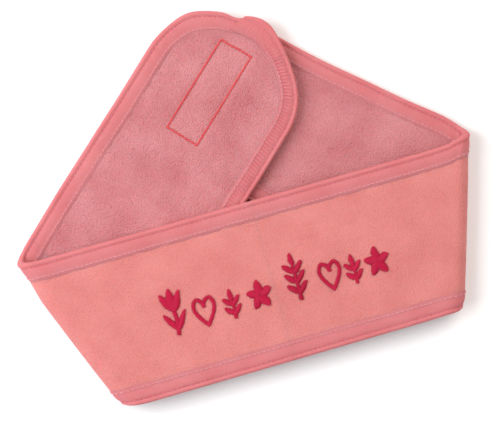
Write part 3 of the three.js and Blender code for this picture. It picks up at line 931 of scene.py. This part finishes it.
def arch(name, turn, radius, thick, sides=5, steps=9):
    """A bent wire standing on the XY plane, in units of its own height."""
    a = np.linspace(0, turn, steps)
    centre = np.stack([radius - radius * np.cos(a), 0 * a, 1 - radius + radius * np.sin(a)], 1)
    centre = np.concatenate([[(0, 0, 0)], centre])
    tangent = unit(np.gradient(centre, axis=0))
    normal = np.array([0, 1.0, 0])
    b = np.arange(sides) * 2 * math.pi / sides
    side = np.cross(tangent, normal)
    points = (centre[:, None] + thick * (np.cos(b)[None, :, None] * normal
              + np.sin(b)[None, :, None] * side[:, None]))
    i, j = np.meshgrid(np.arange(len(centre) - 1), np.arange(sides), indexing="ij")
    k, q = i * sides + j, i * sides + (j + 1) % sides
    faces = np.stack([k, q, q + sides, k + sides], -1).reshape(-1, 4).tolist()
    faces += [list(range(sides))[::-1], list(range((len(centre) - 1) * sides, len(centre) * sides))]
    data = bpy.data.meshes.new(name)
    data.from_pydata(points.reshape(-1, 3).tolist(), [], faces)
    return bpy.data.objects.new(name, data)


hook_box = box_stitch("box_stitch_tab", LEFT, HOOK, -1)
loop_box = box_stitch("box_stitch_rear", RIGHT, LOOP, 1)
one_hook, one_loop = arch("One hook", 3.6, 0.3, 0.09), arch("One loop", math.pi, 0.45, 0.07)
p, along, up = field(LEFT, HOOK, 1.0, 2.85, 1, 7)
hooks = lay("hooks", p, along, up, np.ones(len(p)), 0.8, 0.8, 0.6, HOOKS, one_hook, 0.05, 7)
p, along, up = field(RIGHT, LOOP, 0.85, -2.95, -1, 27)
loops = lay("loops", p, along, up, np.ones(len(p)), 0.7, 0.7, 0.42, LOOPS, one_loop, 0.25, 27)
for node, material in (("hook_tape", HOOKS), ("loop_tape", LOOPS)):
    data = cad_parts[node].data
    data.materials.clear()
    data.materials.append(material)
print("hooks", len(hooks.data.polygons), "loops", len(loops.data.polygons))

# %% [markdown]
# ## What moves with what
# The tab's lap, box stitching and hooks go with the tab, the rear's box stitching and loops with
# the rear panel, and the embroidery with the front panel. The cloth, tape and seams are only baked
# in place, on no body.


def fold_blend(obj):
    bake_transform(obj)


ahead = np.array([math.cos(math.radians(42.8)), math.sin(math.radians(42.8))])


def tab_blend(obj):
    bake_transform(obj)


for obj in (cloth_A, tape["A_upper"], tape["A_lower"], *stitches["A_upper"],
            *stitches["A_lower"]):
    fold_blend(obj)
for obj in (cloth_C, tape["C"], *stitches["C"]):
    fold_blend(obj)
for obj in (cloth_B, tape["B"], *stitches["B"]):
    tab_blend(obj)
for obj in (lap, hook_box, hooks):
    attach(obj, "tab")
for obj in (loop_box, loops):
    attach(obj, "rear_panel")
for obj in embroidery:
    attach(obj, "front_panel")

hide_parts("front_face_cloth", "front_lining", "left_fold_face_cloth", "left_fold_lining")
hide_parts("left_face_cloth", "left_lining", "tab_face_cloth", "tab_lining")
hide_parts("right_fold_face_cloth", "right_fold_lining", "rear_face_cloth",
            "rear_lining")
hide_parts("front_upper_binding", "left_fold_upper_binding")
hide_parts("front_lower_binding", "left_fold_lower_binding")
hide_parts("left_upper_binding", "left_lower_binding", "tab_binding")
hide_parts("right_fold_upper_binding", "right_fold_lower_binding", "rear_binding")
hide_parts("binding_lap")
for piece, prefix in (("A_upper", "front_upper"), ("A_lower", "front_lower")):
    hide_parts(f"{prefix}_outer_seam", f"{prefix}_inner_seam")
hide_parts("tab_outer_seam", "tab_inner_seam",
            *[f"left_{side}_{which}_seam" for side in ("upper", "lower")
              for which in ("outer", "inner")])
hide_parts("rear_outer_seam", "rear_inner_seam")
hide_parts("hook_box_stitch")
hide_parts("loop_box_stitch")
for number, obj in enumerate(embroidery, 1):
    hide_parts(f"ornament_{number}")


# %% [markdown]
# ## Table, light and camera
# A pale floor, a large soft light from the left and a wide, warmer fill from the upper right. The
# camera looks almost straight down and is turned, so that the front panel rises to the right.

# %% Stage
floor_data = bpy.data.meshes.new("Floor")
floor_data.from_pydata([(-6, -6, 0), (6, -6, 0), (6, 6, 0), (-6, 6, 0)], [], [(0, 1, 2, 3)])
floor = add("Floor", floor_data, STAGE)
paper = bpy.data.materials.new("Paper")
paper.use_nodes = True
paper.node_tree.nodes["Principled BSDF"].inputs["Base Color"].default_value = (0.9, 0.9, 0.9, 1)
paper.node_tree.nodes["Principled BSDF"].inputs["Roughness"].default_value = 0.9
floor_data.materials.append(paper)


def lamp(name, power, size, where, target=(0, 0, 0), tint=(1, 1, 1)):
    data = bpy.data.lights.new(name, "AREA")
    data.energy, data.size, data.color = power, size, tint
    obj = add(name, data, STAGE)
    obj.location = where
    obj.rotation_mode = "QUATERNION"
    obj.rotation_quaternion = (Vector(target) - Vector(where)).to_track_quat("-Z", "Y")
    return obj


lights = [lamp("Key", 20.5, 0.9, (-0.95, 0.2, 0.95), tint=(0.93, 0.97, 1)),
          lamp("Fill", 12, 1.2, (0.7, 0.6, 1.05), tint=(1, 0.89, 0.82))]
scene = bpy.context.scene
scene.world = bpy.data.worlds.new("Room")
scene.world.use_nodes = True
scene.world.node_tree.nodes["Background"].inputs[0].default_value = (1, 1, 1, 1)
scene.world.node_tree.nodes["Background"].inputs[1].default_value = 0.48
scene.view_settings.view_transform = "Standard"

roll, yaw, tilt = math.radians(-15.94), math.radians(-5.06), math.radians(2.49)
turned = (Matrix.Rotation(roll, 3, "Z") @ Matrix.Rotation(yaw, 3, "Y")
          @ Matrix.Rotation(tilt, 3, "X"))
target = Vector((*(np.array([-0.87, 35.98]) - CENTRE) / 1000, 0.008))
camera_data = bpy.data.cameras.new("Camera")
camera_data.sensor_width, camera_data.lens = 36, 126.3
camera = add("Camera", camera_data, STAGE)
camera.rotation_mode = "QUATERNION"
camera.rotation_quaternion = turned.to_quaternion()
camera.location = target + turned @ Vector((0, 0, 0.9))
camera_data.clip_start, camera_data.clip_end = 0.05, 20
scene.camera = camera
